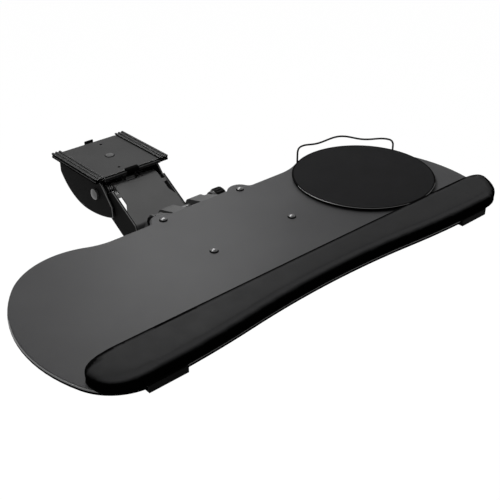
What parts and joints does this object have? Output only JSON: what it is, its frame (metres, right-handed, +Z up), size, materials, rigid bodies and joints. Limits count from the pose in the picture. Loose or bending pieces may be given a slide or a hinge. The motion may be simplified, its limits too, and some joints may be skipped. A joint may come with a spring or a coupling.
{
  "type": "keyboard tray",
  "caption": "Bean-shaped keyboard board with a padded palm rest, a round mouse surface behind a wire guard, and a swivelling, tilting, height-adjusting arm for an under-desk track.",
  "frame": {"origin": "on the swivel axis, level with the tops of the trolley's glides, where they run under the track", "axes": "+X to the user's right along the board's width, +Y rearwards under the desk along the track, +Z up"},
  "size_m": [0.69, 0.5606, 0.1227],
  "materials": {
    "powder_coat": "fine satin powder coat",
    "moulded_black": "fine moulded grain",
    "nylon": "smooth nylon",
    "black_steel": "oiled black steel",
    "black_screws": "glossy black",
    "spring_steel": "drawn spring wire",
    "rubber_black": "matt",
    "board_laminate": "matt charcoal laminate",
    "palm_cover": "smooth satin cover over foam",
    "mouse_mat": "fine matt cloth",
    "guard_wire": "satin black"
  },
  "bodies": {
    "trolley": {"trolley_plate": "powder_coat", "glide_left": "moulded_black", "glide_right": "moulded_black", "front_catch": "moulded_black", "rear_bumper": "rubber_black", "swivel_washer": "nylon", "swivel_rivet": "black_screws", "rivet_washer": "black_steel"},
    "yoke": {"swivel_plate": "powder_coat", "cheek_left": "powder_coat", "cheek_right": "powder_coat", "yoke_lugs": "powder_coat", "rear_pivot_rod": "black_steel", "rear_pivot_caps": "black_steel", "friction_washers": "nylon", "link_rear_pin": "black_steel", "spring_left": "spring_steel", "spring_right": "spring_steel"},
    "arm": {"arm_cover": "powder_coat", "arm_side_left": "powder_coat", "arm_side_right": "powder_coat", "arm_rear_tube": "powder_coat", "arm_front_tube": "powder_coat"},
    "link": {"level_link": "black_steel"},
    "head": {"riser_left": "powder_coat", "riser_right": "powder_coat", "front_pivot_rod": "black_steel", "front_pivot_caps": "black_steel", "front_washers": "nylon", "head_cross_bar": "powder_coat", "head_lugs": "powder_coat", "link_front_pin": "black_steel", "tilt_rod": "black_steel", "tilt_rod_cap": "black_steel", "tilt_spacers": "nylon", "knob_washer": "black_steel"},
    "platform": {"tilt_bracket": "powder_coat", "board": "board_laminate", "board_screws": "black_screws", "board_nuts": "black_steel", "palm_rest_base": "moulded_black", "palm_rest_pad": "palm_cover", "clip_left": "moulded_black", "clip_right": "moulded_black", "clip_screws": "black_screws", "mouse_disc": "moulded_black", "mouse_mat": "mouse_mat", "mouse_guard": "guard_wire", "guard_saddles": "powder_coat", "saddle_screws": "black_screws"},
    "knob": {"tilt_knob": "moulded_black"}
  },
  "joints": [
    {"name": "swivel", "type": "hinge", "parent": "trolley", "child": "yoke", "pos_m": [0, 0, 0], "axis": [0, 0, 1], "continuous": true},
    {"name": "arm_lift", "type": "hinge", "parent": "yoke", "child": "arm", "pos_m": [0, -0.038, -0.036], "axis": [-1, 0, 0], "range_deg": [-33, 15]},
    {"name": "head_level", "type": "hinge", "parent": "arm", "child": "head", "pos_m": [0, -0.11857, -0.08634], "axis": [-1, 0, 0], "range_deg": [-15, 33]},
    {"name": "link_swing", "type": "hinge", "parent": "yoke", "child": "link", "pos_m": [0, -0.048, -0.023], "axis": [-1, 0, 0], "range_deg": [-33, 15]},
    {"name": "tilt", "type": "hinge", "parent": "head", "child": "platform", "pos_m": [0, -0.18457, -0.02334], "axis": [-1, 0, 0], "range_deg": [-15, 15]},
    {"name": "knob_turn", "type": "hinge", "parent": "head", "child": "knob", "pos_m": [0, -0.18457, -0.02334], "axis": [1, 0, 0], "range_deg": [-180, 180]}
  ],
  "couplings": [
    {"joint": "head_level", "follows": "arm_lift", "ratio": -1},
    {"joint": "link_swing", "follows": "arm_lift", "ratio": 1}
  ]
}
